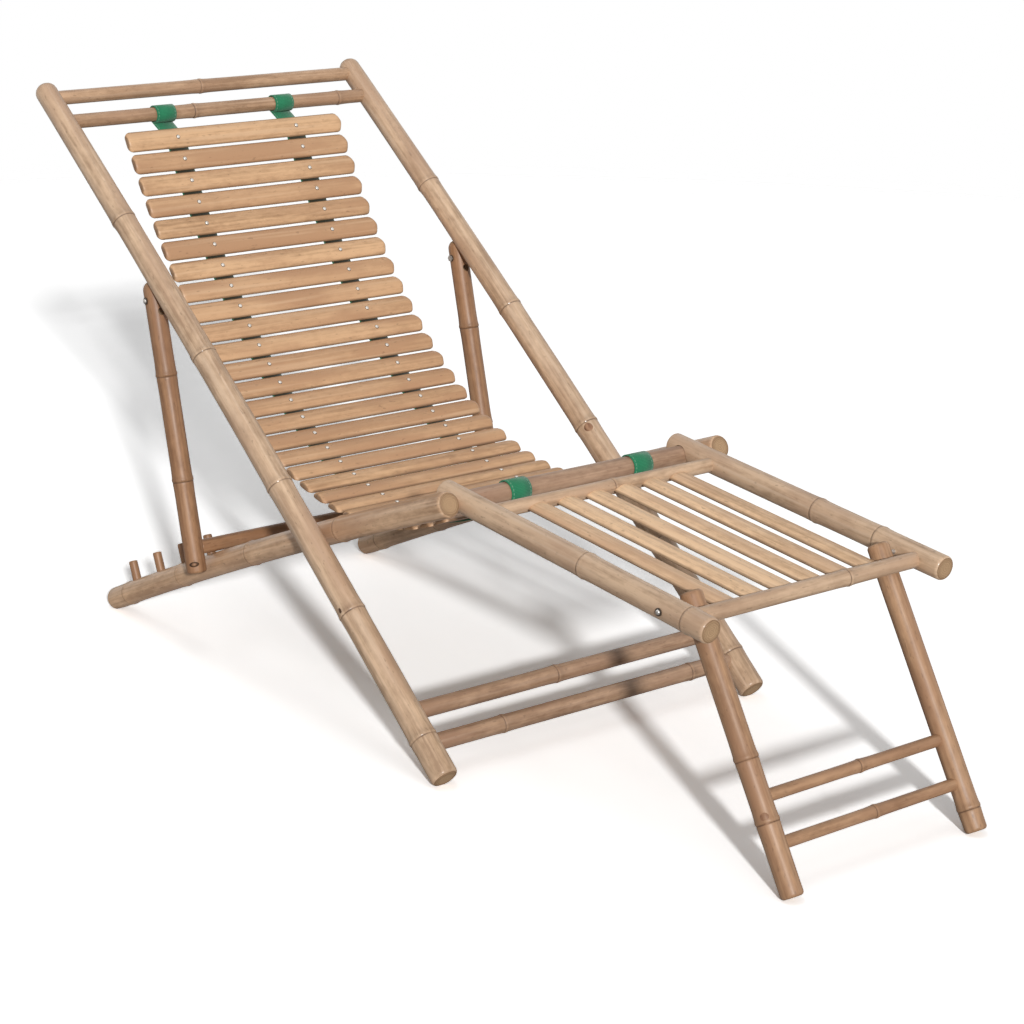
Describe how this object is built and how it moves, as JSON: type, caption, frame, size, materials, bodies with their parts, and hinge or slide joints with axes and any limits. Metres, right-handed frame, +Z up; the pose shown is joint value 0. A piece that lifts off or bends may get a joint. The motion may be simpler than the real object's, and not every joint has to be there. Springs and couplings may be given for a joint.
{
  "type": "folding recliner chair",
  "caption": "Folding bamboo deck recliner with a slatted sling seat on green straps, propped back and hook-on footrest.",
  "frame": {"origin": "on the floor, under the middle of the chair with the footrest on", "axes": "+X from the head to the foot end, +Y to the sitter's left, +Z up"},
  "size_m": [1.5177, 0.5888, 0.7988],
  "materials": {
    "pole": "lacquered bamboo culm",
    "rail": "lacquered thin bamboo",
    "seat_pole": "lacquered bamboo culm",
    "prop": "lacquered bamboo culm",
    "slat": "split bamboo, satin",
    "footrest": "lacquered bamboo",
    "leg": "lacquered bamboo culm",
    "strap": "woven webbing",
    "steel": "bolt, satin"
  },
  "bodies": {
    "seat_frame": {"seat_pole_left": "seat_pole", "seat_pole_right": "seat_pole", "front_rail": "seat_pole"},
    "back_frame": {"back_pole_left": "pole", "back_pole_right": "pole", "head_rail_top": "rail", "head_rail_sling": "rail", "foot_rail_upper": "rail", "foot_rail_lower": "rail", "prop_bolt_left": "steel", "prop_bolt_right": "steel", "strap_left": "strap", "strap_right": "strap"},
    "prop_frame": {"prop_left": "prop", "prop_right": "prop", "cross_bar": "prop"},
    "footrest": {"rest_pole_left": "footrest", "rest_pole_right": "footrest", "rest_rail_rear": "footrest", "rest_rail_front": "footrest", "leg_bolt_left": "steel", "leg_bolt_right": "steel", "rest_slat_1": "footrest", "rest_slat_2": "footrest", "rest_slat_3": "footrest", "rest_slat_4": "footrest", "rest_slat_5": "footrest", "rest_slat_6": "footrest"},
    "legs": {"leg_left": "leg", "leg_right": "leg", "leg_rail_upper": "leg", "leg_rail_lower": "leg"},
    "sling_1": {"sling_slat_01": "slat", "sling_slat_02": "slat", "sling_slat_03": "slat", "sling_slat_04": "slat"},
    "sling_2": {"sling_slat_05": "slat", "sling_slat_06": "slat", "sling_slat_07": "slat", "sling_slat_08": "slat"},
    "sling_3": {"sling_slat_09": "slat", "sling_slat_10": "slat", "sling_slat_11": "slat", "sling_slat_12": "slat"},
    "sling_4": {"sling_slat_13": "slat", "sling_slat_14": "slat", "sling_slat_15": "slat", "sling_slat_16": "slat"},
    "sling_5": {"sling_slat_17": "slat", "sling_slat_18": "slat", "sling_slat_19": "slat", "sling_slat_20": "slat"},
    "sling_6": {"sling_slat_21": "slat", "sling_slat_22": "slat", "sling_slat_23": "slat", "sling_slat_24": "slat"},
    "sling_7": {"sling_slat_25": "slat", "sling_slat_26": "slat", "sling_slat_27": "slat", "sling_slat_28": "slat"}
  },
  "joints": [
    {"name": "frame_fold", "type": "hinge", "parent": "seat_frame", "child": "back_frame", "pos_m": [-0.0669, 0, 0.26258], "axis": [0, 1, 0], "range_deg": [0, 40], "deforming": ["strap_left", "strap_right"]},
    {"name": "prop_swing", "type": "hinge", "parent": "back_frame", "child": "prop_frame", "pos_m": [-0.44573, 0, 0.52028], "axis": [0, 1, 0], "range_deg": [-27, 0]},
    {"name": "footrest_fold", "type": "hinge", "parent": "seat_frame", "child": "footrest", "pos_m": [0.16246, 0, 0.35251], "axis": [0, -1, 0], "range_deg": [0, 75]},
    {"name": "leg_fold", "type": "hinge", "parent": "footrest", "child": "legs", "pos_m": [0.56732, 0, 0.31792], "axis": [0, 1, 0], "range_deg": [0, 115]},
    {"name": "sling_bend_1", "type": "hinge", "parent": "back_frame", "child": "sling_1", "pos_m": [-0.68454, 0, 0.74307], "axis": [0, 1, 0], "range_deg": [-6.9, 1]},
    {"name": "sling_bend_2", "type": "hinge", "parent": "sling_1", "child": "sling_2", "pos_m": [-0.58578, 0, 0.60365], "axis": [0, 1, 0], "range_deg": [-1, 6]},
    {"name": "sling_bend_3", "type": "hinge", "parent": "sling_2", "child": "sling_3", "pos_m": [-0.49979, 0, 0.49138], "axis": [0, 1, 0], "range_deg": [-1, 6.1]},
    {"name": "sling_bend_4", "type": "hinge", "parent": "sling_3", "child": "sling_4", "pos_m": [-0.39875, 0, 0.39258], "axis": [0, 1, 0], "range_deg": [-1, 3.2]},
    {"name": "sling_bend_7", "type": "hinge", "parent": "seat_frame", "child": "sling_7", "pos_m": [0.16246, 0, 0.35251], "axis": [0, 1, 0], "range_deg": [-5, 1]},
    {"name": "sling_bend_6", "type": "hinge", "parent": "sling_7", "child": "sling_6", "pos_m": [-0.00563, 0, 0.27212], "axis": [0, 1, 0], "range_deg": [-1, 27.8]},
    {"name": "sling_bend_5", "type": "hinge", "parent": "sling_6", "child": "sling_5", "pos_m": [-0.14641, 0, 0.27211], "axis": [0, 1, 0], "range_deg": [-1, 18.8]}
  ],
  "couplings": [
    {"joint": "prop_swing", "follows": "frame_fold", "ratio": -0.65},
    {"joint": "sling_bend_1", "follows": "frame_fold", "ratio": -0.1463},
    {"joint": "sling_bend_2", "follows": "frame_fold", "ratio": 0.1243},
    {"joint": "sling_bend_3", "follows": "frame_fold", "ratio": 0.1284},
    {"joint": "sling_bend_4", "follows": "frame_fold", "ratio": 0.0551},
    {"joint": "sling_bend_7", "follows": "frame_fold", "ratio": -0.1001},
    {"joint": "sling_bend_6", "follows": "frame_fold", "ratio": 0.6708},
    {"joint": "sling_bend_5", "follows": "frame_fold", "ratio": 0.4452}
  ]
}
